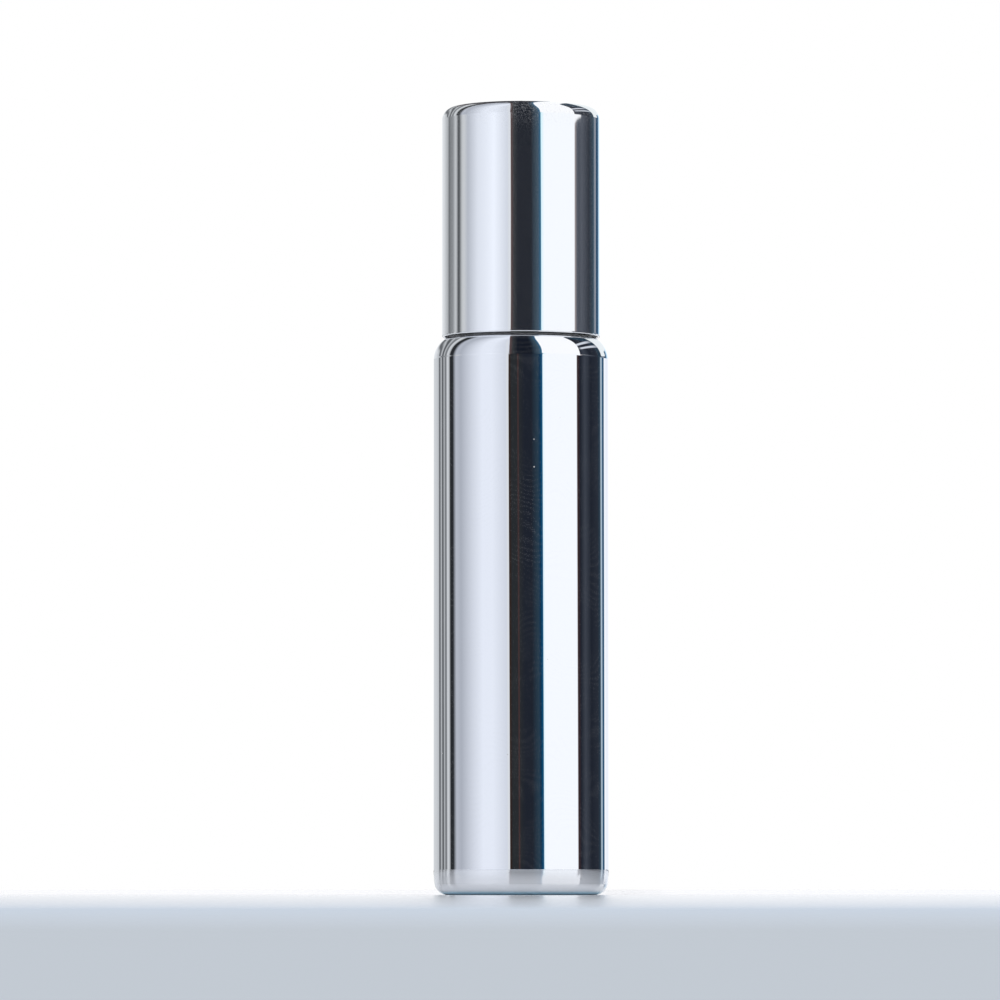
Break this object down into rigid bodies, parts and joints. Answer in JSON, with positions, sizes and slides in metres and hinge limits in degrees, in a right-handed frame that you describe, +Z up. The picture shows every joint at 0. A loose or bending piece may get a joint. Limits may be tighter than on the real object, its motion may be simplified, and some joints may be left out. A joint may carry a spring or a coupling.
{
  "type": "roll-on bottle",
  "caption": "Slim mirror-plated glass roll-on bottle with a push-in ball housing, a rolling steel ball and a screw cap in a drawn metal shell.",
  "frame": {"origin": "middle of the base, on the plane that the bottle stands on", "axes": "+Z up along the bottle's axis; the bottle is round, and X and Y are only the directions that the ball's axis and the openings are given in"},
  "size_m": [0.019, 0.019, 0.0861],
  "materials": {
    "plated_glass": "mirror plating outside on glass",
    "housing_plastic": "natural, slightly milky",
    "ball_steel": "polished stainless steel",
    "pad_rubber": "soft, matt white",
    "insert_plastic": "moulded white, half gloss",
    "shell_aluminium": "polished bright"
  },
  "bodies": {
    "bottle_body": {"bottle": "plated_glass", "ball_housing": "housing_plastic"},
    "ball": {"roller_ball": "ball_steel"},
    "pad": {"seal_pad": "pad_rubber"},
    "cap": {"cap_insert": "insert_plastic", "cap_shell": "shell_aluminium"}
  },
  "joints": [
    {"name": "ball_roll", "type": "hinge", "parent": "bottle_body", "child": "ball", "pos_m": [0, 0, 0.07747], "axis": [1, 0, 0], "continuous": true},
    {"name": "cap_lift", "type": "slide", "parent": "bottle_body", "child": "pad", "axis": [0, 0, 1], "range_m": [0, 0.0271]},
    {"name": "cap_turn", "type": "hinge", "parent": "pad", "child": "cap", "pos_m": [0, 0, 0.07747], "axis": [0, 0, 1], "range_deg": [0, 3240]}
  ],
  "couplings": [
    {"joint": "cap_lift", "follows": "cap_turn", "m_per_rad": 0.00047746}
  ]
}
